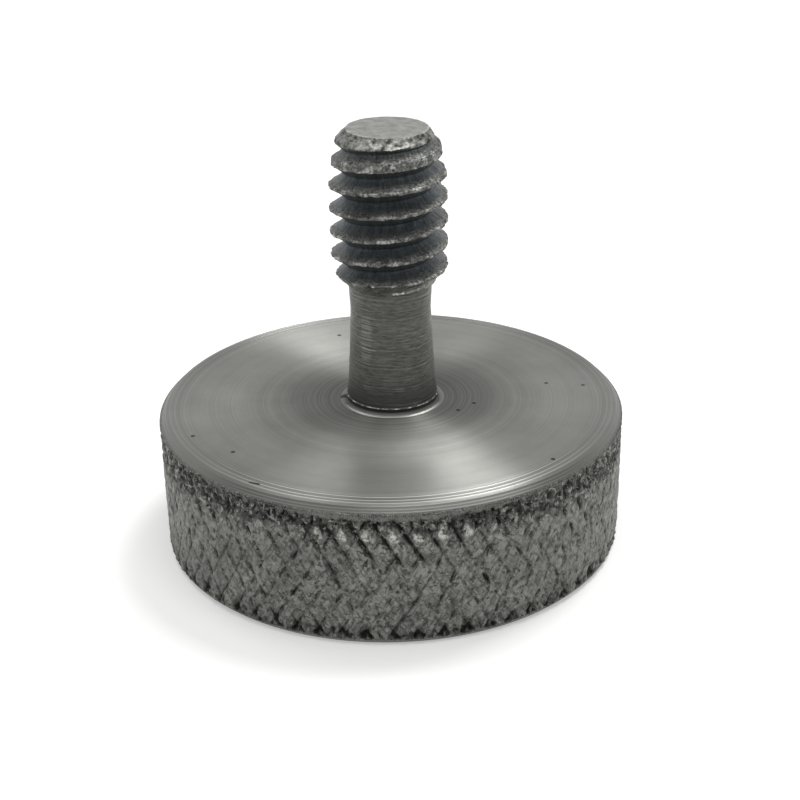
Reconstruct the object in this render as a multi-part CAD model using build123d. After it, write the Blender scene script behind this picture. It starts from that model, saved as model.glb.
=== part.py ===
from build123d import *

import math
import os

# Thumb screw turned from one bar of steel: a thick head with a diamond knurl round
# its rim, and a stud on its face that is relieved next to the head and threaded
# above. It stands on its head, so z is 0 under the head and grows towards the tip.
# Lengths are in millimetres, angles in degrees.

# Head
head_height = 8.0
rim_radius = 12.96  # over the knurl's lands
face_chamfer = 0.44  # at 45 degrees, round the face that the stud stands on
foot_chamfer = 0.35  # the same, round the face that the head stands on

# Diamond knurl: two sets of V grooves at equal and opposite angles to the axis
knurl_pitch = 1.27  # round the rim, from one groove to the next of its set
knurl_depth = 0.28
knurl_angle = 30.0
knurl_flank_angle = 45.0  # of each side of a groove to the groove's own middle plane

# Thread: unified coarse, a quarter inch across, 20 turns to the inch, right-hand
thread_radius = 3.175
thread_pitch = 1.27
thread_flank_angle = 30.0  # of each flank to a plane across the axis
crest_share = 1 / 8  # of the pitch that is left as a land at full diameter
groove_depth_share = 0.6134  # of the pitch
groove_offset_share = 0.6  # of the pitch from the groove's start to the thread's

# Stud, with heights measured from the head's face
stud_length = 15.5
shank_length = 6.9  # relieved, between the face and the thread
waist_height = 5.6  # where the shank is thinnest
neck_relief = 0.126  # from the bottom of the thread's groove down to the shank
waist_relief = 0.06  # from the neck, next to the thread, down to the waist
root_flare = 0.41  # from the waist out to the shank's foot
root_fillet = 0.3  # between the shank's foot and the face
root_slope = -0.2  # change of radius per millimetre of height, leaving the fillet
waist_slope = -0.04  # the same, where the shank reaches its waist

# Tip: the last turns taper, then a chamfer leads into the flat end
lead_length = 2.6
lead_taper = 0.425
tip_chamfer = 0.55

# How far a cutting shape runs past the surface that it cuts
knurl_run_over = 0.2
thread_run_over = 0.1

knurl_teeth = round(2 * math.pi * rim_radius / knurl_pitch)
groove_bottom_radius = thread_radius - groove_depth_share * thread_pitch
neck_radius = groove_bottom_radius - neck_relief
waist_radius = neck_radius - waist_relief
root_radius = waist_radius + root_flare
lead_radius = thread_radius - lead_taper
thread_bottom = head_height + shank_length
stud_top = head_height + stud_length


def section_point(radius, height):
    """A point of a half section, which is drawn in the plane of X and Z."""
    return Vector(radius, 0, height)


def turned(edges):
    """A solid of revolution from the closed outline of its half section."""
    return revolve(make_face(edges), Axis.Z)


def head_blank():
    """The head before knurling, with a 45-degree chamfer at each end of the rim."""
    outline = Polyline(
        section_point(0, 0),
        section_point(rim_radius - foot_chamfer, 0),
        section_point(rim_radius, foot_chamfer),
        section_point(rim_radius, head_height - face_chamfer),
        section_point(rim_radius - face_chamfer, head_height),
        section_point(0, head_height),
        close=True,
    )
    return turned(outline.edges())


def knurled_bar(hand):
    """A bar with sharp V grooves round it, twisted to the knurl's angle.

    The hand is 1 or -1, and says which way the grooves climb. The peaks stand
    higher than the rim, so that the rim leaves a flat land on each diamond.
    """
    tooth_angle = 360 / knurl_teeth
    half_pitch = math.pi * rim_radius / knurl_teeth
    groove_radius = rim_radius - knurl_depth
    peak_radius = groove_radius + half_pitch / math.tan(math.radians(knurl_flank_angle))
    corners = []
    for tooth in range(knurl_teeth):
        groove = Vector(groove_radius, 0).rotate(Axis.Z, tooth * tooth_angle)
        peak = Vector(peak_radius, 0).rotate(Axis.Z, (tooth + 0.5) * tooth_angle)
        corners += [groove, peak]
    length = head_height + 2 * knurl_run_over
    twist = math.degrees(length * math.tan(math.radians(knurl_angle)) / rim_radius)
    below = Vector(0, 0, -knurl_run_over)
    section = Pos(below) * make_face(Polyline(*corners, close=True))
    return Solid.extrude_linear_with_rotation(
        section.face(), below, Vector(0, 0, length), hand * twist
    )


def stud_blank():
    """The stud before threading: root fillet, waisted shank, shoulder, lead and tip."""
    face = section_point(root_radius + root_fillet, head_height)
    root = section_point(root_radius, head_height + root_fillet)
    waist = section_point(waist_radius, head_height + waist_height)
    foot_of_axis = section_point(0, head_height)
    fillet_edge = Edge.make_tangent_arc(root, (-root_slope, 0, -1), face)
    waisted_edge = Edge.make_spline(
        [root, waist], tangents=[(root_slope, 0, 1), (waist_slope, 0, 1)]
    )
    threaded_end = Polyline(
        waist,
        section_point(neck_radius, thread_bottom),
        section_point(thread_radius, thread_bottom + thread_radius - neck_radius),
        section_point(thread_radius, stud_top - lead_length),
        section_point(lead_radius, stud_top - tip_chamfer),
        section_point(lead_radius - tip_chamfer, stud_top),
        section_point(0, stud_top),
        foot_of_axis,
        face,
    )
    return turned([fillet_edge, waisted_edge, *threaded_end.edges()])


def thread_groove_turn(height):
    """One turn of the V groove, which starts at the given height on the +X side."""
    outer_radius = thread_radius + thread_run_over
    spread = math.tan(math.radians(thread_flank_angle))
    outer_half = (1 - crest_share) / 2 * thread_pitch + thread_run_over * spread
    bottom_half = outer_half - (outer_radius - groove_bottom_radius) * spread
    section = Polyline(
        section_point(groove_bottom_radius, height - bottom_half),
        section_point(outer_radius, height - outer_half),
        section_point(outer_radius, height + outer_half),
        section_point(groove_bottom_radius, height + bottom_half),
        close=True,
    )
    path = Helix(
        thread_pitch, thread_pitch, groove_bottom_radius, center=(0, 0, height)
    )
    return Solid.sweep(make_face(section).face(), path, is_frenet=True)


def threaded_stud():
    """The stud with its groove cut turn after turn, from the shank out past the tip."""
    first = thread_bottom - groove_offset_share * thread_pitch
    turns = math.ceil((stud_top - first) / thread_pitch + 0.5)
    stud = stud_blank()
    for turn in range(turns):
        stud -= thread_groove_turn(first + turn * thread_pitch)
    return stud


knurled_head = head_blank() & knurled_bar(1) & knurled_bar(-1)
thumb_screw = knurled_head + threaded_stud()

os.makedirs("parts", exist_ok=True)
export_step(thumb_screw.solid(), "parts/thumb_screw.step")
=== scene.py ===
# %% [markdown]
# # A knurled thumb screw in turned steel
#
# This lesson builds one thumb screw from a single bar of steel. The real one was faced
# and turned on a lathe, its rim was squeezed between two knurling wheels, and its stud
# was threaded with a die. Each step below follows one of those tools, because the marks
# that they leave are what makes steel look like steel.
#
# The screw stands on its head. Z grows from the head's outer face to the stud's tip.

import math

import bmesh
import bpy
from mathutils import Matrix, Vector, noise


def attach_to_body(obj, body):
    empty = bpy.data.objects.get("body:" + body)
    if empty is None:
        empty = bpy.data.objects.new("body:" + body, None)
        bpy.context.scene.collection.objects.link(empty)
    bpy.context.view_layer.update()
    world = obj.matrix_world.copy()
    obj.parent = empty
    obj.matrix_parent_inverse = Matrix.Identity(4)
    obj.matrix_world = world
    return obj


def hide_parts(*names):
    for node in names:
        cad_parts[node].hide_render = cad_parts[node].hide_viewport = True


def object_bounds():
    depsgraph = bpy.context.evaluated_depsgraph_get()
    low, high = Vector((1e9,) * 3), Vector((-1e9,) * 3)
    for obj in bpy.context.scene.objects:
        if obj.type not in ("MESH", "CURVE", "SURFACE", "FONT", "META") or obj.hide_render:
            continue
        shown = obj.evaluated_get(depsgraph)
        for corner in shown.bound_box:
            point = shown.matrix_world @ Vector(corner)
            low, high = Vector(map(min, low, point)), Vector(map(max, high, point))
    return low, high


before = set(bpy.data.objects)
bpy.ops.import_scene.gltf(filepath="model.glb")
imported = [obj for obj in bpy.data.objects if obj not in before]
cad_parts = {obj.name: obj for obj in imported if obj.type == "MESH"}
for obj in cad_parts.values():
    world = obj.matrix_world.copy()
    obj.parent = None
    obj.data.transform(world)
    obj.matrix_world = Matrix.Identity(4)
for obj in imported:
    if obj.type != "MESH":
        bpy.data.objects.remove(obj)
cad_low, cad_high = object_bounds()

MM = 0.001
rim_radius = cad_high.x
stud_top = cad_high.z
print(f"rim {rim_radius / MM:.2f} mm, overall height {stud_top / MM:.2f} mm")

# %% [markdown]
# ## Sizes of the real screw
#
# The rim and the height come from the frame. The rest are a turner's own numbers: where
# the face ends, how long the relieved shank is, and the pitch of the thread. They are
# kept together so that every later step can share them.

# %% Name the sizes
head_height = 8.0 * MM
face_chamfer = 0.44 * MM
foot_chamfer = 0.35 * MM
knurl_depth = 0.28 * MM
knurl_teeth = 64
knurl_angle = math.radians(30)

shank_length = 6.9 * MM
waist_height = 5.6 * MM
root_radius = 2.51 * MM
root_top = 0.46 * MM
waist_radius = 2.21 * MM
neck_radius = 2.27 * MM

thread_radius = 3.175 * MM
thread_pitch = 1.27 * MM
thread_depth = 0.779 * MM
lead_length = 2.6 * MM
lead_radius = 2.75 * MM
tip_chamfer = 0.55 * MM

thread_bottom = head_height + shank_length
lead_slope = (thread_radius - lead_radius) / (lead_length - tip_chamfer)
print(f"thread from {thread_bottom / MM:.1f} mm to the tip")

# %% [markdown]
# ## Small helpers
#
# Metal that was cut or squeezed is never perfectly even, so several steps need smooth
# noise that is measured in real millimetres. Blender's own noise is the same on each
# run. Each part is made in a mesh of its own, which is quicker, and then added to the
# whole.


# %% Define noise, blending and adding
def uneven(place, lump, salt):
    """Smooth noise from about -1 to 1, in lumps of a size. A salt changes its pattern."""
    return noise.noise(place / lump + Vector((salt, 2 * salt, 3 * salt)))


def between(low, high, value):
    """The value held between two limits."""
    return min(max(value, low), high)


def blend(low, high, value):
    """0 at low, 1 at high, and a smooth ramp between. Low may be the larger one."""
    share = between(0.0, 1.0, (value - low) / (high - low))
    return share * share * (3 - 2 * share)


def turned_place(angle, radius, height):
    """A point at an angle round the screw's axis."""
    return Vector((radius * math.cos(angle), radius * math.sin(angle), height))


finishes = ["turned_face", "knurled_rim", "turned_shank", "cut_thread", "sawn_tip"]
screw = bmesh.new()


def add_to_screw(part, finish):
    """Gives every face of a part one finish and moves the part into the screw."""
    for face in part.faces:
        face.material_index = finishes.index(finish)
    mesh = bpy.data.meshes.new("part")
    part.to_mesh(mesh)
    part.free()
    screw.from_mesh(mesh)
    bpy.data.meshes.remove(mesh)
    print(f"{finish}: the screw now has {len(screw.faces)} faces")


# %% [markdown]
# ## The knurled rim
#
# Two hard wheels with slanted teeth press a diamond pattern into the rim. A flat grid
# can hold it if its cells are exactly as tall as the knurl's angle asks, because then
# both sets of grooves run along the diagonals. Poking each cell gives it a centre, so
# that both diagonals are real edges and every groove stays crisp. The grid is then
# wrapped round the head.

# %% Make the flat grid for the rim
columns_per_tooth = 12
rim_columns = knurl_teeth * columns_per_tooth
column_width = 2 * math.pi * rim_radius / rim_columns
row_height = column_width / math.tan(knurl_angle)

band_bottom = foot_chamfer - knurl_depth
band_top = head_height - 0.34 * MM
rim_rows = round((band_top - band_bottom) / row_height)

rim = bmesh.new()
bmesh.ops.create_grid(rim, x_segments=rim_columns, y_segments=rim_rows, size=1.0)
bmesh.ops.poke(rim, faces=rim.faces[:])
print(f"rim grid: {rim_columns} by {rim_rows} cells, {row_height / MM:.3f} mm tall")

# %% [markdown]
# On this screw the wheels tracked unevenly. In a few places round the rim the grooves
# that lean to the left are deep in the upper half. The rest was rolled almost flat, with
# small lumps, short ends of grooves, and here and there a doubled one. The upper edge is
# torn, and V-shaped pits run along the lower one. Each of these is one line of the depth
# below, which is a share of the knurl's full depth, measured inwards from the rim.


# %% Say how deep the knurl is at each place
def groove(position, strength, half_width):
    """Depth of the nearest V groove, where grooves lie one unit of position apart."""
    away = abs(position - round(position))
    return between(0.0, 1.0, strength) * max(0.0, 1 - away / half_width)


def wave(count, angle, peak):
    """1 at evenly spaced bearings, one of them given in degrees, and 0 midway between."""
    return 0.5 + 0.5 * math.cos(count * (angle - math.radians(peak)))


def short(position):
    """1 on a part of each cell, by its position across the other grooves, else 0.3."""
    shifted = position + 0.27
    away = abs(shifted - round(shifted))
    return 0.3 + 0.7 * blend(0.36, 0.16, away)


def knurl_at(place, angle, leaning_right, leaning_left):
    """Depth of the knurl at a place on the rim, as a share of its full depth."""
    height = place.z / MM
    patch = uneven(place, 1.8 * MM, 3.1)
    broken = 0.85 + 0.6 * uneven(place, 0.7 * MM, 8.8)
    tracked = wave(3, angle, -93) ** 2
    upper = blend(4.0, 5.3, height) * tracked
    lower = blend(1.3, 0.65, height)
    strokes = blend(1.9, 1.5, height) * wave(2, angle, -125)
    notch_left = (0.55 + 0.7 * uneven(place, 0.8 * MM, 5.1)) * lower
    notch_right = (0.65 + 0.7 * uneven(place, 0.8 * MM, 1.2)) * lower
    end_left = (0.30 + 0.7 * patch) * broken * short(leaning_right)
    end_right = (0.30 - 0.6 * patch) * broken * short(leaning_left)
    doubled = 0.5 * uneven(place, 1.3 * MM, 7.7) * short(leaning_left)
    depth = max(
        groove(leaning_left, 0.80 * upper * broken, 0.16),
        groove(leaning_left, end_left, 0.15),
        groove(leaning_left, notch_left, 0.17),
        groove(leaning_right, notch_right, 0.17),
        groove(leaning_right, end_right, 0.12),
        groove(leaning_right, 0.45 * strokes * broken, 0.10),
        groove(leaning_right + 0.42, doubled, 0.11),
    )
    torn_from = 6.4 - 0.9 * wave(2, angle, 0) + 0.5 * uneven(place, 3.0 * MM, 6.6)
    torn = blend(torn_from - 0.4, torn_from + 0.5, height) + 0.8 * lower
    creases = max(0.0, 1 - 5 * abs(uneven(place, 0.50 * MM, 5.3)))
    pits = max(0.0, uneven(place, 0.30 * MM, 2.9))
    lumps = 0.24 * uneven(place, 0.30 * MM, 1.9) + 0.16 * uneven(place, 0.7 * MM, 4.2)
    return between(0.0, 1.0, depth + torn * (0.5 * creases + 0.6 * pits) + lumps + 0.10)


# %% [markdown]
# The knurl fades out at the head's two chamfers, with a ragged edge. In front, where
# the wheels ran lower, the plain lip above it is a little wider. The grooves also sway
# slightly from side to side, but not at the grid's own edges, which have to stay even
# circles so that the face and the foot can be joined to them.

# %% Wrap the grid round the head
right_start = 7 / 12
left_start = 3 / 12
lip_fade = 0.20 * MM
wider_lip = 0.20 * MM
lip_front = 0.85
foot_start = 0.26 * MM
foot_full = 0.42 * MM
sway_width = 0.25 * MM


def chamfered_rim(height):
    """Radius of the head before knurling."""
    below = rim_radius - foot_chamfer + height
    above = rim_radius - face_chamfer + (head_height - height)
    return min(rim_radius, below, above)


for vert in rim.verts:
    along = (vert.co.x + 1) / 2
    share = (vert.co.y + 1) / 2
    turn = along * knurl_teeth
    climb = share * rim_rows / columns_per_tooth
    angle = along * 2 * math.pi
    height = band_bottom + share * (band_top - band_bottom)
    place = turned_place(angle, rim_radius, height)
    leaning_right = turn - climb - right_start
    leaning_left = turn + climb - left_start
    depth = knurl_depth * knurl_at(place, angle, leaning_right, leaning_left)
    ragged = height + uneven(place, 0.5 * MM, 3.7) * 0.08 * MM
    in_front = between(0.0, 1.0, (-place.y / rim_radius - lip_front) / (1 - lip_front))
    lip = head_height - face_chamfer - wider_lip * in_front
    depth *= blend(lip, lip - lip_fade, ragged)
    depth *= blend(foot_start, foot_full, ragged)
    at_edge = share < 0.001 or share > 0.999
    sway = 0.0 if at_edge else uneven(place, 4.0 * MM, 9.1) * sway_width / rim_radius
    vert.co = turned_place(angle + sway, chamfered_rim(height) - depth, height)

bmesh.ops.remove_doubles(rim, verts=rim.verts[:], dist=0.002 * MM)
add_to_screw(rim, "knurled_rim")

# %% [markdown]
# ## The turned face and foot
#
# Everything that the lathe cut is a half section spun round the axis. The face has a
# few coarse ridges near its edge and on its chamfer, where the tool was pulled in by
# hand, and a faint double ring where the finer cut round the stud began. Its section is
# written in millimetres, as a radius and a drop below the face. The foot is a plain
# turned face, spun from its middle.


# %% Spin a half section
def spun(section, steps):
    """Spins a chain of (radius, height) pairs round the axis into a new mesh."""
    part = bmesh.new()
    chain = [part.verts.new((radius, 0, height)) for radius, height in section]
    edges = [part.edges.new(pair) for pair in zip(chain, chain[1:])]
    bmesh.ops.spin(
        part,
        geom=chain + edges,
        cent=(0, 0, 0),
        axis=(0, 0, 1),
        angle=2 * math.pi,
        steps=steps,
        use_merge=True,
    )
    bmesh.ops.remove_doubles(part, verts=part.verts[:], dist=0.001 * MM)
    return part


# %% Cut the face with its coarse ridges
face_columns = 192
root_foot = 2.92 * MM
edge_land = 0.03 * MM
face_edge = (12.85, 0.325)
chamfer_start = 12.52
ridge_sink = 0.018
coarse_ridges = [(12.81, 0.03), (12.70, 0.03), (12.58, 0.035)]
coarse_ridges += [(12.36, 0.05), (12.09, 0.05), (11.76, 0.05)]
double_ring = [(5.56, 0.012), (5.50, 0.0), (5.44, 0.010), (5.38, 0.0)]

face_section = [face_edge]
for radius, half in coarse_ridges:
    for offset, sink in ((half, ridge_sink), (0.0, 0.0), (-half, ridge_sink)):
        drop = max(0.0, radius + offset - chamfer_start) + sink
        face_section.append((radius + offset, drop))
face_section += [(radius, 0.0) for radius in (11.65, 11.3, 10, 8, 6.5, 5.62)]
face_section += double_ring + [(4.4, 0.0), (3.5, 0.0)]
face_section = [(radius * MM, head_height - drop * MM) for radius, drop in face_section]
face_section.append((root_foot, head_height))
add_to_screw(spun(face_section, face_columns), "turned_face")

# %% Cut the foot
foot_edge = rim_radius - foot_chamfer
foot_section = [(radius * MM, 0.0) for radius in (0, 0.8, 4, 8, 11)]
foot_section += [(foot_edge, 0.0), (foot_edge + edge_land, edge_land)]
add_to_screw(spun(foot_section, face_columns), "turned_face")

# %% [markdown]
# ## The relieved shank
#
# The turner took the shank down below the thread's own depth, so that the screw hangs
# loose in its hole until it is wanted. The tool was narrow and hand held, which leaves
# a waisted shank with small ridges. At its root the tool left two raised rings with a
# step between them. Their section is a radius and a height over the face, also in
# millimetres.


# %% Give the shank's radius at each height
def shank_at(height):
    """Radius of the shank at a height over the face, without its ridges."""
    down = waist_height - height
    if down > 0:
        fall = down / (waist_height - root_top)
        return waist_radius + (root_radius - waist_radius) * (0.60 * fall + 0.40 * fall**3)
    share = -down / (shank_length - waist_height)
    return waist_radius + (neck_radius - waist_radius) * share


# %% Turn the root's rings and the shank
shank_columns = 128
shank_rows = 32
lower_ring = [(2.85, 0.0), (2.80, 0.03), (2.73, 0.05), (2.66, 0.035), (2.62, 0.02)]
step = [(2.585, 0.07), (2.565, 0.20), (2.55, 0.35)]
upper_ring = [(2.57, 0.385), (2.56, 0.42), (2.53, 0.45)]
shank_section = [(root_foot, head_height)]
for radius, up in lower_ring + step + upper_ring:
    shank_section.append((radius * MM, head_height + up * MM))
for row in range(shank_rows + 1):
    height = root_top + (shank_length - root_top) * row / shank_rows
    shank_section.append((shank_at(height), head_height + height))

shank = spun(shank_section, shank_columns)
for vert in shank.verts:
    if head_height + root_top < vert.co.z < thread_bottom - 0.02 * MM:
        ridge = uneven(Vector((0, 0, vert.co.z)), 0.35 * MM, 6.0) * 0.008 * MM
        ridge += uneven(vert.co, 0.9 * MM, 2.2) * 0.014 * MM
        vert.co.xy *= 1 + ridge / waist_radius
add_to_screw(shank, "turned_shank")

# %% [markdown]
# ## The thread
#
# A thread is one groove that climbs one pitch in each turn. Spin can do that too: its
# step vector lifts every copy a little, so a profile one pitch tall sweeps the whole
# thread, and each turn's top edge meets the next turn's bottom edge. The worn die left
# the root wide and hollow, so the flanks bend inwards on a power curve. The lead, the
# chamfer and the shoulder are cones that cap the radius, as the turned blank did
# before the die ran over it.

# %% Draw one pitch of the thread and sweep it
turns = 9
steps_a_turn = 170
sweep_start = thread_bottom - 1.6 * thread_pitch
land_half = 0.05 * thread_pitch
crest_rise = 0.015 * MM
flank_rows = 6
hollow = 1.35

profile = [(thread_depth, 0.0)]
for row in range(1, flank_rows + 1):
    share = row / flank_rows
    up = (thread_pitch / 2 - land_half) * share
    profile.append((thread_depth * (1 - share**hollow), up))
profile.append((-crest_rise, thread_pitch / 2))
profile += [(depth, thread_pitch - up) for depth, up in reversed(profile[:-1])]

thread = bmesh.new()
chain = [
    thread.verts.new((thread_radius - depth, 0, sweep_start + up)) for depth, up in profile
]
edges = [thread.edges.new(pair) for pair in zip(chain, chain[1:])]
bmesh.ops.spin(
    thread,
    geom=chain + edges,
    cent=(0, 0, 0),
    axis=(0, 0, 1),
    dvec=(0, 0, thread_pitch / steps_a_turn),
    angle=2 * math.pi * turns,
    steps=steps_a_turn * turns,
)
bmesh.ops.remove_doubles(thread, verts=thread.verts[:], dist=0.002 * MM)
print(f"thread: {len(thread.faces)} faces in {turns} turns")

# %% [markdown]
# The die was worn: it tore the crests and left nicks in them, and rubbed the flanks
# into fine ripples. The tears are deepest on the crests, so the depth of each tear is
# weighed by how near a point lies to the turned blank. The edge of the tip is chipped
# as well.


# %% Cap the thread with its cones and tear its crests
def blank_radius(height):
    """Radius of the turned blank under the die, at a height on the thread."""
    shoulder = neck_radius + (height - thread_bottom)
    lead = thread_radius - (height - (stud_top - lead_length)) * lead_slope
    chamfer = lead_radius - (height - (stud_top - tip_chamfer))
    return min(thread_radius, shoulder, lead, chamfer)


for vert in thread.verts:
    radius = vert.co.xy.length
    capped = min(radius, blank_radius(vert.co.z))
    near_crest = blend(0.55, 0.0, (blank_radius(vert.co.z) - capped) / thread_depth)
    tear = uneven(vert.co, 0.30 * MM, 8.4) + 0.35 * uneven(vert.co, 1.5 * MM, 3.3)
    tear = max(0.0, tear + 0.4 * uneven(vert.co, 0.17 * MM, 6.1))
    ripple = uneven(vert.co, 0.22 * MM, 2.7) * 0.016 * MM
    nick = 0.15 * MM * near_crest * tear + ripple
    droop = uneven(vert.co, 0.4 * MM, 5.9) * 0.05 * MM * near_crest
    chip = blend(stud_top - 1.2 * tip_chamfer, stud_top - 0.5 * tip_chamfer, vert.co.z)
    nick += 0.09 * MM * chip * max(0.0, uneven(vert.co, 0.35 * MM, 4.4) + 0.1)
    inside = blend(0.0, 0.25 * MM, vert.co.z - thread_bottom)
    inside *= blend(0.0, 0.12 * MM, stud_top - vert.co.z)
    vert.co.xy *= (capped - nick * inside) / radius
    vert.co.z += droop * inside

# %% Cut the thread off square at both ends
for height, inner, outer in ((thread_bottom, True, False), (stud_top, False, True)):
    bmesh.ops.bisect_plane(
        thread,
        geom=thread.verts[:] + thread.edges[:] + thread.faces[:],
        dist=0.0001 * MM,
        plane_co=(0, 0, height),
        plane_no=(0, 0, 1),
        clear_inner=inner,
        clear_outer=outer,
    )
low = min(vert.co.z for vert in thread.verts)
high = max(vert.co.z for vert in thread.verts)
print(f"thread cut from {low / MM:.3f} to {high / MM:.3f} mm")
add_to_screw(thread, "cut_thread")


# %% [markdown]
# ## Close the screw
#
# The parts meet in open rings that have different numbers of points. Bridging joins
# two such rings with one belt of faces. Where two rings lie at the same height, the
# finish of their faces tells them apart. The flat tip is a single face over the last
# ring, poked at its middle into an even fan.


# %% Join the rings
def open_ring(height, least, most):
    """The open edges of the screw at a height, between two radii."""
    found = []
    for edge in screw.edges:
        if not edge.is_boundary:
            continue
        if all(
            abs(vert.co.z - height) < 0.004 * MM and least < vert.co.xy.length < most
            for vert in edge.verts
        ):
            found.append(edge)
    return found


def with_finish(ring, finish):
    """The edges of a ring whose faces have a finish."""
    index = finishes.index(finish)
    return [edge for edge in ring if edge.link_faces[0].material_index == index]


def join_rings(first, second, finish):
    """Bridges two open rings and gives the belt between them a finish."""
    belt = bmesh.ops.bridge_loops(screw, edges=first + second)["faces"]
    for face in belt:
        face.material_index = finishes.index(finish)
    bmesh.ops.triangulate(screw, faces=belt)
    print(f"joined rings of {len(first)} and {len(second)} edges")


everywhere = (0.0, 20 * MM)
face_edge_height = head_height - face_edge[1] * MM
face_ring = open_ring(face_edge_height, *everywhere)
join_rings(face_ring, open_ring(band_top, *everywhere), "turned_face")
rim_ring = open_ring(band_bottom, *everywhere)
join_rings(rim_ring, open_ring(edge_land, *everywhere), "turned_face")

root = open_ring(head_height, 0.0, 4 * MM)
join_rings(with_finish(root, "turned_face"), with_finish(root, "turned_shank"), "turned_shank")
neck = open_ring(thread_bottom, *everywhere)
join_rings(with_finish(neck, "turned_shank"), with_finish(neck, "cut_thread"), "turned_shank")

# %% Close the tip
tip_ring = open_ring(stud_top, *everywhere)
tip = bmesh.ops.holes_fill(screw, edges=tip_ring, sides=0)["faces"]
for face in tip:
    face.material_index = finishes.index("sawn_tip")
bmesh.ops.poke(screw, faces=tip)
print(f"tip: ring of {len(tip_ring)} edges")

# %% [markdown]
# ## Make it one piece
#
# A closed mesh has two faces at every edge. The count of open edges below has to be
# zero, or the exported part would leak. The normals are recalculated once, because
# spinning may leave a part inside out.

# %% Turn the mesh into a Blender object
same_place = 0.0002 * MM
sharp_angle = math.radians(38)

bmesh.ops.remove_doubles(screw, verts=screw.verts[:], dist=same_place)
bmesh.ops.dissolve_degenerate(screw, edges=screw.edges[:], dist=same_place)
bmesh.ops.triangulate(screw, faces=[face for face in screw.faces if len(face.verts) > 4])
bmesh.ops.recalc_face_normals(screw, faces=screw.faces[:])
open_edges = sum(1 for edge in screw.edges if len(edge.link_faces) != 2)
triangle_count = sum(len(face.verts) - 2 for face in screw.faces)
volume = screw.calc_volume() / MM**3
print(f"{open_edges} open edges, {triangle_count} triangles, volume {volume:.1f} mm3")

screw_mesh = bpy.data.meshes.new("thumb_screw_steel")
screw.to_mesh(screw_mesh)
screw.free()
screw_mesh.shade_smooth()
screw_mesh.set_sharp_from_angle(angle=sharp_angle)
thumb_screw = bpy.data.objects.new("thumb_screw_steel", screw_mesh)
bpy.context.scene.collection.objects.link(thumb_screw)

# %% [markdown]
# ## Steel, seen through nodes
#
# Bare steel is a metal with a grey colour that hardly changes. What tells one surface
# from another is the tool mark: rings on the face, burnished lands and dirty grooves on
# the knurl, torn flanks on the thread. Every finish below starts from the same plain
# steel, and reads its pattern from the place on the screw, so the marks stay where
# they are when the camera moves.


# %% Define short words for steel and for sums
def new_steel(name, roughness, anisotropy=0.0):
    """A bare steel material. Returns the material, its nodes' tree and its shader."""
    material = bpy.data.materials.new(name)
    material.use_nodes = True
    tree = material.node_tree
    shader = tree.nodes["Principled BSDF"]
    shader.inputs["Metallic"].default_value = 1.0
    shader.inputs["Roughness"].default_value = roughness
    shader.inputs["Anisotropic"].default_value = anisotropy
    return material, tree, shader


def attach(tree, socket, value):
    """Links a node's output to a socket, or sets the socket to a plain value."""
    if isinstance(value, bpy.types.NodeSocket):
        tree.links.new(value, socket)
    else:
        socket.default_value = value


def maths(tree, operation, first, second=0.0, third=None):
    """A Math node's result."""
    node = tree.nodes.new("ShaderNodeMath")
    node.operation = operation
    attach(tree, node.inputs[0], first)
    attach(tree, node.inputs[1], second)
    if third is not None:
        attach(tree, node.inputs[2], third)
    return node.outputs[0]


def product(tree, first, *others):
    """All the values multiplied."""
    for other in others:
        first = maths(tree, "MULTIPLY", first, other)
    return first


def largest(tree, first, *others):
    """The largest of the values."""
    for other in others:
        first = maths(tree, "MAXIMUM", first, other)
    return first


def weighed(tree, *pairs):
    """The sum of some values, each given with its weight."""
    parts = [product(tree, value, weight) for value, weight in pairs]
    total = parts[0]
    for part in parts[1:]:
        total = maths(tree, "ADD", total, part)
    return total


def away_from(tree, value, middle):
    """How far a value is from a middle one."""
    return maths(tree, "ABSOLUTE", maths(tree, "SUBTRACT", value, middle))


def vector_maths(tree, operation, first, second=(0.0, 0.0, 0.0), third=None):
    """A Vector Math node's result, which for some operations is one number."""
    node = tree.nodes.new("ShaderNodeVectorMath")
    node.operation = operation
    attach(tree, node.inputs[0], first)
    attach(tree, node.inputs["Scale" if operation == "SCALE" else 1], second)
    if third is not None:
        attach(tree, node.inputs[2], third)
    one_number = operation in ("LENGTH", "DISTANCE", "DOT_PRODUCT")
    return node.outputs["Value" if one_number else "Vector"]


def parts_of(tree, vector):
    """The X, Y and Z of a vector."""
    node = tree.nodes.new("ShaderNodeSeparateXYZ")
    attach(tree, node.inputs[0], vector)
    return node.outputs


# %% Define noise, ranges and mixes
def grain(tree, place, size, detail=2.0, roughness=0.5):
    """Noise from 0 to 1 with lumps of about the given size."""
    node = tree.nodes.new("ShaderNodeTexNoise")
    attach(tree, node.inputs["Vector"], place)
    node.inputs["Scale"].default_value = 1 / size
    node.inputs["Detail"].default_value = detail
    node.inputs["Roughness"].default_value = roughness
    return node.outputs["Fac"]


def ring_grain(tree, distance, size, detail=2.0, roughness=0.6):
    """Noise from 0 to 1 that only changes with a distance, as tool rings do."""
    node = tree.nodes.new("ShaderNodeTexNoise")
    node.noise_dimensions = "1D"
    attach(tree, node.inputs["W"], distance)
    node.inputs["Scale"].default_value = 1 / size
    node.inputs["Detail"].default_value = detail
    node.inputs["Roughness"].default_value = roughness
    return node.outputs["Fac"]


def spread(tree, value, low, high, to_low=0.0, to_high=1.0):
    """Maps a range of a value to another range, held at both ends."""
    node = tree.nodes.new("ShaderNodeMapRange")
    attach(tree, node.inputs["Value"], value)
    node.inputs["From Min"].default_value = low
    node.inputs["From Max"].default_value = high
    node.inputs["To Min"].default_value = to_low
    node.inputs["To Max"].default_value = to_high
    return node.outputs["Result"]


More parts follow.
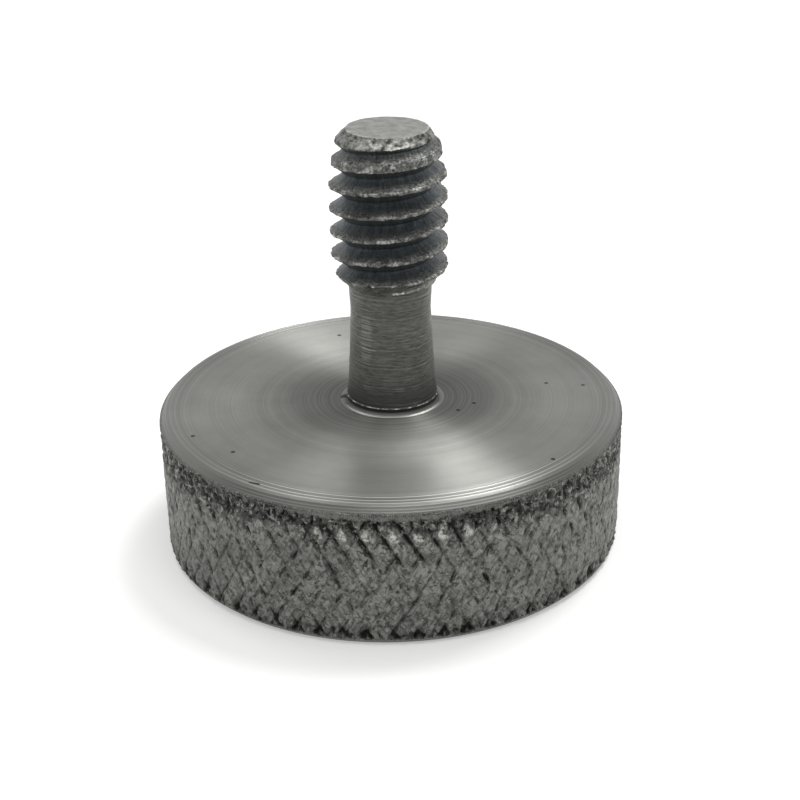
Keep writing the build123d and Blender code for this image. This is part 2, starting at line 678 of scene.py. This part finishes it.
def mixed(tree, share, first, second):
    """A mix of two colours."""
    node = tree.nodes.new("ShaderNodeMix")
    node.data_type = "RGBA"
    attach(tree, node.inputs["Factor"], share)
    attach(tree, node.inputs["A"], first)
    attach(tree, node.inputs["B"], second)
    return node.outputs["Result"]


# %% Define where a place is on the screw
def steel_grey(level, warmth=0.0):
    """A grey of one level, a little greener and warmer as the real steel is."""
    return (level * (1 + warmth), level, level * (0.94 - warmth), 1.0)


def on_screw(tree):
    """The place on the screw, the same without height, the distance out and the height."""
    place = tree.nodes.new("ShaderNodeTexCoord").outputs["Object"]
    flat = vector_maths(tree, "MULTIPLY", place, (1.0, 1.0, 0.0))
    distance = vector_maths(tree, "LENGTH", flat)
    return place, flat, distance, parts_of(tree, place)["Z"]


def shaken(tree, place, by, size):
    """A place moved about by noise, so that a regular pattern turns ragged."""
    node = tree.nodes.new("ShaderNodeTexNoise")
    attach(tree, node.inputs["Vector"], place)
    node.inputs["Scale"].default_value = 1 / size
    move = vector_maths(tree, "SUBTRACT", node.outputs["Color"], (0.5, 0.5, 0.5))
    return vector_maths(tree, "ADD", place, vector_maths(tree, "SCALE", move, 2 * by))


def round_the_axis(tree, shader):
    """Turns the shader's streaks with the axis, as the lathe's marks run."""
    tangent = tree.nodes.new("ShaderNodeTangent")
    tangent.direction_type = "RADIAL"
    tangent.axis = "Z"
    tree.links.new(tangent.outputs[0], shader.inputs["Tangent"])
    shader.inputs["Anisotropic Rotation"].default_value = 0.25


def bumped(tree, shader, height, distance, strength=1.0):
    """Bumps the shader's surface by a height from 0 to 1 over a real distance."""
    node = tree.nodes.new("ShaderNodeBump")
    node.inputs["Strength"].default_value = strength
    node.inputs["Distance"].default_value = distance
    attach(tree, node.inputs["Height"], height)
    tree.links.new(node.outputs[0], shader.inputs["Normal"])


# %% [markdown]
# ## The turned face
#
# A facing cut leaves rings finer than a hair. They scatter light across themselves and
# hardly along, which is why a bright fan lies on the face and swings round as the screw
# is turned. An anisotropic shader does this if its tangent runs round the axis. The
# rings are also noise that changes only with the distance from the axis.

# %% Define spots and rings
def spots(tree, place, centres, size):
    """1 on small spots round some places, given in millimetres, and 0 elsewhere."""
    found = 0.0
    for centre in centres:
        away = vector_maths(tree, "DISTANCE", place, [part * MM for part in centre])
        found = largest(tree, found, spread(tree, away, size, 0.6 * size))
    return found


def rings_at(tree, distance, radii):
    """1 on thin rings, given as radius and half width in millimetres, and 0 elsewhere."""
    found = 0.0
    for radius, half in radii:
        away = away_from(tree, distance, radius * MM)
        found = largest(tree, found, spread(tree, away, half * MM, 0.3 * half * MM))
    return found


# %% Make the turned face
turned_face, tree, shader = new_steel("turned_face", 0.42, 0.95)
place, flat, distance, _ = on_screw(tree)
round_the_axis(tree, shader)

fine_rings = ring_grain(tree, distance, 0.10 * MM, 3.0, 0.7)
broad_rings = ring_grain(tree, distance, 0.9 * MM, 2.0)
mottle = grain(tree, place, 2.5 * MM, 3.0, 0.6)
tone = weighed(tree, (fine_rings, 0.40), (broad_rings, 0.25), (mottle, 0.35))
tone = spread(tree, tone, 0.30, 0.70)
colour = mixed(tree, tone, steel_grey(0.187), steel_grey(0.267))

stud_rings = ring_grain(tree, distance, 0.16 * MM, 3.0, 0.7)
stud_rings = spread(tree, stud_rings, 0.40, 0.62)
stud_tone = mixed(tree, stud_rings, steel_grey(0.115), steel_grey(0.185))
near_stud = spread(tree, distance, 6.3 * MM, 3.6 * MM)
colour = mixed(tree, near_stud, colour, stud_tone)

# %% [markdown]
# The coarse ridges are polished, and painted brightest in front as a painted highlight.
# The chamfer under them is painted darker in front, as painted shade. Round the rest of the
# rim the chamfer looks like the face. A few small pits and one short scratch are on the face.

# %% Add the ridges, the pits and the scratch
front = (0.05, -1.0, 0.0)
face_height = head_height / MM
pit_size = 0.15 * MM
scratch_width = 0.10 * MM

between_ridges = spread(tree, distance, 11.6 * MM, 11.75 * MM, 0.0, 0.35)
colour = mixed(tree, between_ridges, colour, steel_grey(0.12))
outwards = vector_maths(tree, "NORMALIZE", flat)
facing = vector_maths(tree, "DOT_PRODUCT", outwards, front)
in_front = spread(tree, facing, 0.55, 0.8)
on_chamfer = spread(tree, distance, 12.46 * MM, 12.60 * MM, 0.0, 0.9)
# Painted shade: the chamfer is painted darker in front.
chamfer_tone_and_shade = mixed(tree, in_front, steel_grey(0.19), steel_grey(0.105))
colour = mixed(tree, on_chamfer, colour, chamfer_tone_and_shade)
# Painted highlight: the polished ridges are painted brightest in front.
front_highlight = spread(tree, facing, 0.55, 0.8, 0.2, 1.0)
ridges = product(tree, rings_at(tree, distance, coarse_ridges), front_highlight)
ridge_highlight = mixed(tree, on_chamfer, steel_grey(0.38), steel_grey(0.16))
colour = mixed(tree, ridges, colour, ridge_highlight)

pitted = [(3.61, -1.93), (4.55, -1.07), (8.85, 1.43), (10.94, 1.06)]
pitted += [(8.26, -8.06), (-10.68, -4.48), (-8.39, -6.46), (-3.2, 9.1)]
face_pits = [(across, along, face_height) for across, along in pitted]
scratch = [(-7.25 + 0.11 * dot, -9.85 - 0.05 * dot, face_height) for dot in range(5)]
pits = spots(tree, place, face_pits, pit_size)
pits = largest(tree, pits, spots(tree, place, scratch, scratch_width))
colour = mixed(tree, pits, colour, steel_grey(0.03))
attach(tree, shader.inputs["Base Color"], colour)

duller_inside = spread(tree, distance, 9.0 * MM, 5.5 * MM, 0.42, 0.62)
dullness = maths(tree, "MULTIPLY_ADD", tone, -0.06, duller_inside)
attach(tree, shader.inputs["Roughness"], dullness)
bumped(tree, shader, fine_rings, 0.004 * MM)
print("turned face:", len(tree.nodes), "nodes")

# %% [markdown]
# ## The knurled rim
#
# The wheels burnish what they press on. The bottoms of the grooves are darker, partly
# from old oil in them and partly as painted shade. How deep a point lies is its distance
# below the blank rim, so the oil and the painted shade follow the modelled grooves exactly.

# %% Make the knurled rim, its oil and its painted shade
knurled_rim, tree, shader = new_steel("knurled_rim", 0.45)
place, _, distance, height = on_screw(tree)
grit = grain(tree, place, 0.16 * MM, 3.0, 0.65)
lumps = grain(tree, place, 0.34 * MM, 3.0, 0.65)
smear = grain(tree, place, 1.8 * MM, 2.0)
tone = spread(tree, weighed(tree, (lumps, 0.7), (smear, 0.3)), 0.36, 0.64)
colour = mixed(tree, tone, steel_grey(0.12), steel_grey(0.26))

over_lip = maths(tree, "SUBTRACT", height, head_height - face_chamfer)
under_lip = maths(tree, "SUBTRACT", foot_chamfer, height)
depth = maths(tree, "SUBTRACT", rim_radius, distance)
depth = maths(tree, "SUBTRACT", depth, largest(tree, over_lip, 0.0))
depth = maths(tree, "SUBTRACT", depth, largest(tree, under_lip, 0.0))
ragged_depth = maths(tree, "MULTIPLY_ADD", grit, 0.12 * MM, depth)
# Darker in the grooves: old oil, and painted shade.
oil_and_shade_in_grooves = spread(tree, ragged_depth, 0.11 * MM, 0.26 * MM)
colour = mixed(tree, oil_and_shade_in_grooves, colour, steel_grey(0.032))

# %% [markdown]
# Even where the knurl was rolled flat, a dark hairline shows each groove. The lines are
# found from the bearing and the height, as the grid's grooves were, on a place that is
# shaken a little. Finer still are short dark flecks along both sets of grooves. Turning
# each place back by the grooves' own twist makes them upright, and noise that is
# stretched upright then follows them all round.


# %% Add the hairlines and the flecks
def off_groove(tree, position, shift):
    """How far a place is from the nearest groove of its set, in pitches."""
    return maths(tree, "PINGPONG", maths(tree, "ADD", position, shift), 0.5)


def flecks(tree, place, height, hand):
    """Noise from 0 to 1 in streaks along the knurl's grooves of one hand."""
    untwist = tree.nodes.new("ShaderNodeVectorRotate")
    untwist.rotation_type = "Z_AXIS"
    attach(tree, untwist.inputs["Vector"], place)
    twist = hand * math.tan(knurl_angle) / rim_radius
    attach(tree, untwist.inputs["Angle"], product(tree, height, twist))
    stretched = vector_maths(tree, "MULTIPLY", untwist.outputs[0], (1.0, 1.0, 0.25))
    return grain(tree, stretched, 0.17 * MM, 1.0)


left_shift = knurl_teeth - 0.25
right_shift = knurl_teeth - 0.58
across, along, _ = parts_of(tree, shaken(tree, place, 0.10 * MM, 0.5 * MM))
bearing = maths(tree, "ARCTAN2", along, across)
turn = product(tree, bearing, knurl_teeth / (2 * math.pi))
climb = product(tree, height, 1 / (columns_per_tooth * row_height))
off_left = off_groove(tree, maths(tree, "ADD", turn, climb), left_shift)
off_right = off_groove(tree, maths(tree, "SUBTRACT", turn, climb), right_shift)
left_line = product(tree, spread(tree, off_left, 0.12, 0.02), spread(tree, off_right, 0.10, 0.24))
right_line = product(tree, spread(tree, off_right, 0.10, 0.02), spread(tree, off_left, 0.10, 0.24))
hairlines = product(tree, largest(tree, left_line, right_line), spread(tree, lumps, 0.56, 0.44))
colour = mixed(tree, product(tree, hairlines, 0.7), colour, steel_grey(0.035))

right_flecks = spread(tree, flecks(tree, place, height, -1), 0.57, 0.66)
left_flecks = spread(tree, flecks(tree, place, height, 1), 0.58, 0.67)
pocks = spread(tree, grain(tree, place, 0.24 * MM, 2.0), 0.61, 0.68)
dark_flecks = product(tree, largest(tree, right_flecks, left_flecks), 0.55)
dark_flecks = largest(tree, dark_flecks, pocks)
colour = mixed(tree, product(tree, dark_flecks, 0.68), colour, steel_grey(0.03))

# %% [markdown]
# The torn upper edge is cracked like scales, and reaches further down at both sides.
# Bright burrs stand on it, and a few lie lower down.

# %% Add the torn edge and its burrs
torn_height = maths(tree, "MULTIPLY_ADD", smear, 1.6 * MM, height)
aside = maths(tree, "ABSOLUTE", across)
deeper = spread(tree, aside, 0.0, rim_radius, 0.0, 0.9 * MM)
torn_height = maths(tree, "ADD", torn_height, deeper)
torn = spread(tree, torn_height, 7.0 * MM, 7.9 * MM)
scales = tree.nodes.new("ShaderNodeTexVoronoi")
scales.feature = "DISTANCE_TO_EDGE"
scales.inputs["Scale"].default_value = 1 / (0.42 * MM)
attach(tree, scales.inputs["Vector"], shaken(tree, place, 0.22 * MM, 0.30 * MM))
cracks = spread(tree, scales.outputs["Distance"], 0.15, 0.03)
cracks = largest(tree, cracks, spread(tree, lumps, 0.56, 0.42))
cracks = product(tree, torn, cracks, 0.72)
colour = mixed(tree, cracks, colour, steel_grey(0.04))
shreds = grain(tree, shaken(tree, place, 0.15 * MM, 0.4 * MM), 0.30 * MM, 2.0)
burrs = spread(tree, torn_height, 5.8 * MM, 7.4 * MM, 0.1, 1.0)
burrs = product(tree, burrs, spread(tree, shreds, 0.56, 0.63))
colour = mixed(tree, product(tree, burrs, 0.8), colour, steel_grey(0.33))

# %% [markdown]
# In front, a row of lands between the deep grooves is burnished, and painted bright as a
# painted highlight. The strips over and under the knurl are plain steel.

# %% Add the bright lands and the plain strips
in_front = spread(tree, along, -0.90 * rim_radius, -0.97 * rim_radius)
row = spread(tree, away_from(tree, height, 6.5 * MM), 0.50 * MM, 0.35 * MM)
land = product(tree, spread(tree, off_left, 0.26, 0.36), spread(tree, off_right, 0.14, 0.26))
patchy = product(tree, in_front, spread(tree, lumps, 0.38, 0.52))
# Painted highlight on the burnished lands in front.
colour = mixed(tree, product(tree, land, row, patchy), colour, steel_grey(0.50))

ragged_height = maths(tree, "MULTIPLY_ADD", lumps, 0.24 * MM, height)
lowered = spread(tree, along, -lip_front * rim_radius, -rim_radius, 0.0, wider_lip)
ragged_height = maths(tree, "ADD", ragged_height, lowered)
plain_lip = spread(tree, ragged_height, head_height - 0.45 * MM, head_height - 0.38 * MM)
colour = mixed(tree, plain_lip, colour, steel_grey(0.15))
plain_foot = spread(tree, height, 0.34 * MM, 0.30 * MM)
colour = mixed(tree, plain_foot, colour, steel_grey(0.20))
attach(tree, shader.inputs["Base Color"], colour)

dullness = spread(tree, ragged_depth, 0.05 * MM, 0.25 * MM, 0.42, 0.62)
attach(tree, shader.inputs["Roughness"], dullness)
relief = maths(tree, "SUBTRACT", maths(tree, "ADD", lumps, grit), dark_flecks)
relief = maths(tree, "ADD", relief, product(tree, burrs, 1.5))
bumped(tree, shader, relief, 0.09 * MM)
print("knurled rim:", len(tree.nodes), "nodes")

# %% [markdown]
# ## The turned shank
#
# The relieving tool chattered, so the shank has irregular dark and bright rings that
# come and go round it. On one side they make a short ladder of bright ticks. Towards the
# face the shank is painted darker, as painted shade.

# %% Make the turned shank and its chatter marks
turned_shank, tree, shader = new_steel("turned_shank", 0.45, 0.5)
place, flat, distance, height = on_screw(tree)
round_the_axis(tree, shader)
wander = grain(tree, place, 1.3 * MM, 2.0)
wandering = maths(tree, "MULTIPLY_ADD", wander, 0.15 * MM, height)
rings = ring_grain(tree, wandering, 0.12 * MM, 3.0, 0.7)
squashed = vector_maths(tree, "MULTIPLY", place, (1.0, 1.0, 6.0))
patches = grain(tree, squashed, 0.5 * MM, 4.0, 0.7)
tone = spread(tree, weighed(tree, (rings, 0.35), (patches, 0.65)), 0.36, 0.64)
colour = mixed(tree, tone, steel_grey(0.07), steel_grey(0.18))

ladder_side = (-1.36 * MM, -1.78 * MM, 0.0)
ladder_height = 12.2 * MM
column = vector_maths(tree, "DISTANCE", flat, ladder_side)
column = spread(tree, column, 0.42 * MM, 0.22 * MM)
tall = spread(tree, away_from(tree, height, ladder_height), 1.5 * MM, 1.0 * MM)
ladder = product(tree, column, tall, spread(tree, rings, 0.48, 0.58))
ticks = product(tree, spread(tree, wander, 0.56, 0.64), spread(tree, rings, 0.58, 0.66))
ticks = product(tree, largest(tree, ticks, ladder), 0.7)
colour = mixed(tree, ticks, colour, steel_grey(0.32))
# Painted shade: darker towards the face.
shade_near_face = spread(tree, height, head_height + 2.2 * MM, head_height + 0.4 * MM, 0.0, 0.75)
colour = mixed(tree, shade_near_face, colour, steel_grey(0.05))

# %% [markdown]
# The two rings at the shank's root are painted bright: the upper one as a painted
# reflection, only in places, and the lower one, a burr, as a painted highlight mostly in
# front. The step between them is painted dark as painted shade, and a black spot on the
# left is a painted shadow deep in the groove.

# %% Add the rings' painted light, the step's painted shade and the painted shadow at the root
root_height = maths(tree, "SUBTRACT", height, head_height)
step_wall = spread(tree, distance, 2.68 * MM, 2.66 * MM)
step_wall = product(tree, step_wall, spread(tree, root_height, 0.38 * MM, 0.35 * MM))
step_top = spread(tree, root_height, 0.14 * MM, 0.24 * MM)
# Painted shade: the step between the rings is painted dark.
step_shade = mixed(tree, step_top, steel_grey(0.13), steel_grey(0.04))
colour = mixed(tree, step_wall, colour, step_shade)

# Painted reflection on the upper ring, in places, and painted highlight on the lower ring, mostly
# in front.
upper_reflection = spread(tree, away_from(tree, root_height, 0.415 * MM), 0.03 * MM, 0.01 * MM)
in_places = spread(tree, grain(tree, place, 0.40 * MM, 3.0), 0.46, 0.58, 0.0, 0.7)
_, along, _ = parts_of(tree, place)
in_front = spread(tree, along, -0.9 * MM, -2.0 * MM, 0.12, 1.0)
lower_highlight = product(tree, rings_at(tree, distance, [(2.74, 0.15)]), in_front)
ring_highlights = largest(tree, product(tree, upper_reflection, in_places), lower_highlight)
colour = mixed(tree, ring_highlights, colour, steel_grey(0.62))
outside = spread(tree, distance, 2.77 * MM, 2.84 * MM)
colour = mixed(tree, outside, colour, steel_grey(0.15))
# Painted shadow: a black spot in the groove on the left.
notch_shadow = spots(tree, place, [(-2.74, 0.12, 8.03), (-2.58, 0.16, 8.2)], 0.30 * MM)
colour = mixed(tree, notch_shadow, colour, steel_grey(0.005))
attach(tree, shader.inputs["Base Color"], colour)
attach(tree, shader.inputs["Roughness"], spread(tree, tone, 0.0, 1.0, 0.52, 0.40))
bumped(tree, shader, rings, 0.008 * MM)
print("turned shank:", len(tree.nodes), "nodes")

# %% [markdown]
# ## The cut thread
#
# The die drags metal along the flanks, so they are streaked from root to crest, and
# the roots are painted dark, as painted shade. How far a point lies below the crest tells
# the inner wall from the torn outer half, and the crest itself comes lower along the
# tapered lead.

# %% Make the cut thread
cut_thread, tree, shader = new_steel("cut_thread", 0.42)
place, flat, distance, height = on_screw(tree)
way_out = vector_maths(tree, "NORMALIZE", flat)
lift = vector_maths(tree, "MULTIPLY", place, (0.0, 0.0, 60.0))
stretched = vector_maths(tree, "MULTIPLY_ADD", way_out, (1.0, 1.0, 0.0), lift)
streaks = grain(tree, stretched, 0.05, 3.0, 0.7)
specks = grain(tree, place, 0.16 * MM, 3.0, 0.65)
blotches = grain(tree, place, 0.5 * MM, 2.0)
in_lead = largest(tree, maths(tree, "SUBTRACT", height, stud_top - lead_length), 0.0)
below_crest = maths(tree, "SUBTRACT", thread_radius, distance)
lead_drop = product(tree, in_lead, 0.9 * lead_slope)
below_crest = maths(tree, "SUBTRACT", below_crest, lead_drop)

wall_tone = spread(tree, streaks, 0.35, 0.65)
wall = mixed(tree, wall_tone, steel_grey(0.07, -0.13), steel_grey(0.16, -0.10))
flank_tone = weighed(tree, (specks, 0.7), (streaks, 0.3))
flank = spread(tree, flank_tone, 0.36, 0.64)
flank = mixed(tree, flank, steel_grey(0.05, -0.04), steel_grey(0.175))
wavering = maths(tree, "MULTIPLY_ADD", specks, 0.16 * MM, below_crest)
colour = mixed(tree, spread(tree, wavering, 0.34 * MM, 0.56 * MM), flank, wall)
# Painted shade in the roots.
root_shade = spread(tree, below_crest, 0.62 * MM, 0.78 * MM, 0.0, 0.35)
colour = mixed(tree, root_shade, colour, steel_grey(0.04, -0.14))

# %% [markdown]
# The crests are rubbed bright in places, and the torn half of each flank is speckled
# dark and bright. The shoulder where the thread runs out faces down into shade, and is
# speckled and painted bright over that shade, as painted light.

# %% Add the crests, the specks and the shoulder
crest_shine = product(tree, spread(tree, blotches, 0.50, 0.62), spread(tree, specks, 0.38, 0.54))
crest_shine = product(tree, crest_shine, spread(tree, below_crest, 0.12 * MM, 0.06 * MM))
colour = mixed(tree, crest_shine, colour, steel_grey(0.38))
torn_half = spread(tree, wavering, 0.56 * MM, 0.40 * MM)
fine_specks = grain(tree, place, 0.11 * MM, 2.0, 0.6)
dark_specks = product(tree, spread(tree, fine_specks, 0.45, 0.38), torn_half, 0.5)
colour = mixed(tree, dark_specks, colour, steel_grey(0.02))
bright_specks = product(tree, spread(tree, fine_specks, 0.59, 0.65), torn_half, 0.4)
colour = mixed(tree, bright_specks, colour, steel_grey(0.32))

cone_radius = maths(tree, "ADD", height, neck_radius - thread_bottom)
shoulder = spread(tree, away_from(tree, distance, cone_radius), 0.10 * MM, 0.04 * MM)
near_end = spread(tree, height, thread_bottom + 1.0 * MM, thread_bottom + 0.8 * MM)
run_out = spread(tree, height, thread_bottom + 0.66 * MM, thread_bottom + 0.54 * MM)
shoulder = largest(tree, product(tree, shoulder, near_end), run_out)
# Painted light: the downward-facing shoulder is painted bright.
shoulder_specks_and_light = mixed(tree, spread(tree, specks, 0.52, 0.64), steel_grey(0.26), steel_grey(0.60))
colour = mixed(tree, shoulder, colour, shoulder_specks_and_light)

# %% Add the torn chamfer of the tip
chamfered = spread(tree, height, stud_top - 0.62 * MM, stud_top - 0.50 * MM)
torn_tone = spread(tree, weighed(tree, (specks, 0.5), (blotches, 0.5)), 0.38, 0.62)
torn_end = mixed(tree, torn_tone, steel_grey(0.04), steel_grey(0.32))
colour = mixed(tree, chamfered, colour, torn_end)
attach(tree, shader.inputs["Base Color"], colour)
attach(tree, shader.inputs["Roughness"], spread(tree, flank_tone, 0.35, 0.65, 0.55, 0.38))
bumped(tree, shader, flank_tone, 0.05 * MM, 0.8)
print("cut thread:", len(tree.nodes), "nodes")

# %% [markdown]
# ## The sawn tip
#
# The stud was parted off and touched on a stone, which leaves a paler, matt end with a
# bright edge.

# %% Make the sawn tip
sawn_tip, tree, shader = new_steel("sawn_tip", 0.58)
place, _, distance, _ = on_screw(tree)
tip_radius = lead_radius - tip_chamfer
mottle = grain(tree, place, 0.5 * MM, 4.0, 0.65)
colour = mixed(tree, spread(tree, mottle, 0.35, 0.65), steel_grey(0.175), steel_grey(0.285))
edge = spread(tree, distance, tip_radius - 0.12 * MM, tip_radius - 0.02 * MM, 0.0, 0.6)
edge = product(tree, edge, spread(tree, mottle, 0.42, 0.58))
colour = mixed(tree, edge, colour, steel_grey(0.60))
attach(tree, shader.inputs["Base Color"], colour)
bumped(tree, shader, mottle, 0.03 * MM, 0.5)
print("sawn tip:", len(tree.nodes), "nodes")

# %% Give the screw its finishes
for material in (turned_face, knurled_rim, turned_shank, cut_thread, sawn_tip):
    screw_mesh.materials.append(material)
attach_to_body(thumb_screw, "root")
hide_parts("thumb_screw")
print("finishes:", [material.name for material in screw_mesh.materials])

# %% [markdown]
# ## Floor, light and camera
#
# The floor is a plain pale sheet. Its material adds a little light of its own for the
# rays that the camera sees, so that it reads as white and still takes the screw's
# shadow. The room is white to the camera and dimmer as a light.


# %% Tell which rays the camera sees
def seen_rays(tree):
    """1 for rays that reach the camera straight, mirrored or through glass, else 0."""
    rays = tree.nodes.new("ShaderNodeLightPath").outputs
    names = ("Is Camera Ray", "Is Glossy Ray", "Is Transmission Ray")
    return largest(tree, *[rays[name] for name in names])


# %% Lay the floor
floor_reach = 3.0
floor_glow = 0.33

floor = bmesh.new()
bmesh.ops.create_grid(floor, x_segments=1, y_segments=1, size=floor_reach)
floor_mesh = bpy.data.meshes.new("floor")
floor.to_mesh(floor_mesh)
floor.free()
floor_object = bpy.data.objects.new("floor", floor_mesh)
bpy.context.scene.collection.objects.link(floor_object)

white_floor = bpy.data.materials.new("white_floor")
white_floor.use_nodes = True
tree = white_floor.node_tree
shader = tree.nodes["Principled BSDF"]
shader.inputs["Roughness"].default_value = 1.0
shader.inputs["Specular IOR Level"].default_value = 0.0
shader.inputs["Base Color"].default_value = (0.80, 0.81, 0.79, 1.0)
shader.inputs["Emission Color"].default_value = (1.0, 1.0, 1.0, 1.0)
attach(tree, shader.inputs["Emission Strength"], product(tree, seen_rays(tree), floor_glow))
floor_mesh.materials.append(white_floor)

# %% Light the room
room_light = 0.42

world = bpy.data.worlds.new("studio")
bpy.context.scene.world = world
world.use_nodes = True
tree = world.node_tree
background = tree.nodes["Background"]
direction = tree.nodes.new("ShaderNodeTexCoord").outputs["Generated"]
overhead = spread(tree, parts_of(tree, direction)["Z"], 0.25, 0.8)
colour = mixed(tree, overhead, (1.0, 1.0, 1.0, 1.0), (0.92, 0.93, 0.93, 1.0))
attach(tree, background.inputs["Color"], colour)
room_strength = spread(tree, seen_rays(tree), 0.0, 1.0, room_light, 1.0)
attach(tree, background.inputs["Strength"], room_strength)

# %% [markdown]
# Two soft lamps hang high behind the screw, and a wider one over it. The turned face
# spreads each of them into a bright fan, so their bearings set where the fans lie.

# %% Hang the lamps
lamp_distance = 0.45


def hang_lamp(name, side, toward, power):
    """Hangs a square lamp in a direction from the screw, aimed at the screw."""
    data = bpy.data.lights.new(name, "AREA")
    data.shape = "SQUARE"
    data.size = side
    data.energy = power
    lamp = bpy.data.objects.new(name, data)
    toward = Vector(toward).normalized()
    lamp.location = toward * lamp_distance
    lamp.rotation_euler = toward.to_track_quat("Z", "Y").to_euler()
    bpy.context.scene.collection.objects.link(lamp)


hang_lamp("softbox_right", 0.12, (0.29, 0.30, 0.91), 0.80)
hang_lamp("softbox_left", 0.12, (-0.28, 0.30, 0.91), 0.20)
hang_lamp("softbox_front", 0.20, (0.06, -0.12, 0.99), 0.5)
print("lamps:", [lamp.name for lamp in bpy.data.lights])

# %% [markdown]
# The camera looks at the middle of the face from a hand's breadth away. Its last small
# turns and its sideways shift come from fitting the outline of a photo.

# %% Set up the camera
face_middle = Vector((0, 0, head_height))
rise = 0.4370154
stand_off = 86.304 * MM
pan, tilt, roll = -0.0572042, -0.0033883, -0.0197833
sensor_width = 36.0
focal_pixels = 1526.357
picture_pixels = 800
sideways_shift = -0.1


def swung(angle, axis, directions):
    """Some directions turned by an angle about an axis."""
    swing = Matrix.Rotation(angle, 3, axis)
    return [swing @ direction for direction in directions]


eye = face_middle + stand_off * Vector((0, -math.cos(rise), math.sin(rise)))
ahead = (face_middle - eye).normalized()
right = ahead.cross(Vector((0, 0, 1))).normalized()
up = right.cross(ahead)
ahead, right, up = swung(pan, up, (ahead, right, up))
ahead, right, up = swung(tilt, right, (ahead, right, up))
right, up = swung(-roll, ahead, (right, up))

camera_data = bpy.data.cameras.new("camera")
camera_data.sensor_width = sensor_width
camera_data.lens = focal_pixels / picture_pixels * sensor_width
camera_data.shift_x = sideways_shift
camera_data.clip_start = 1 * MM
camera_data.clip_end = 20.0
camera = bpy.data.objects.new("camera", camera_data)
turned = Matrix((right, up, -ahead)).transposed().to_4x4()
camera.matrix_world = Matrix.Translation(eye) @ turned
bpy.context.scene.collection.objects.link(camera)
bpy.context.scene.camera = camera
bpy.context.scene.view_settings.view_transform = "Standard"
print(f"camera at {[round(value / MM, 1) for value in eye]} mm")
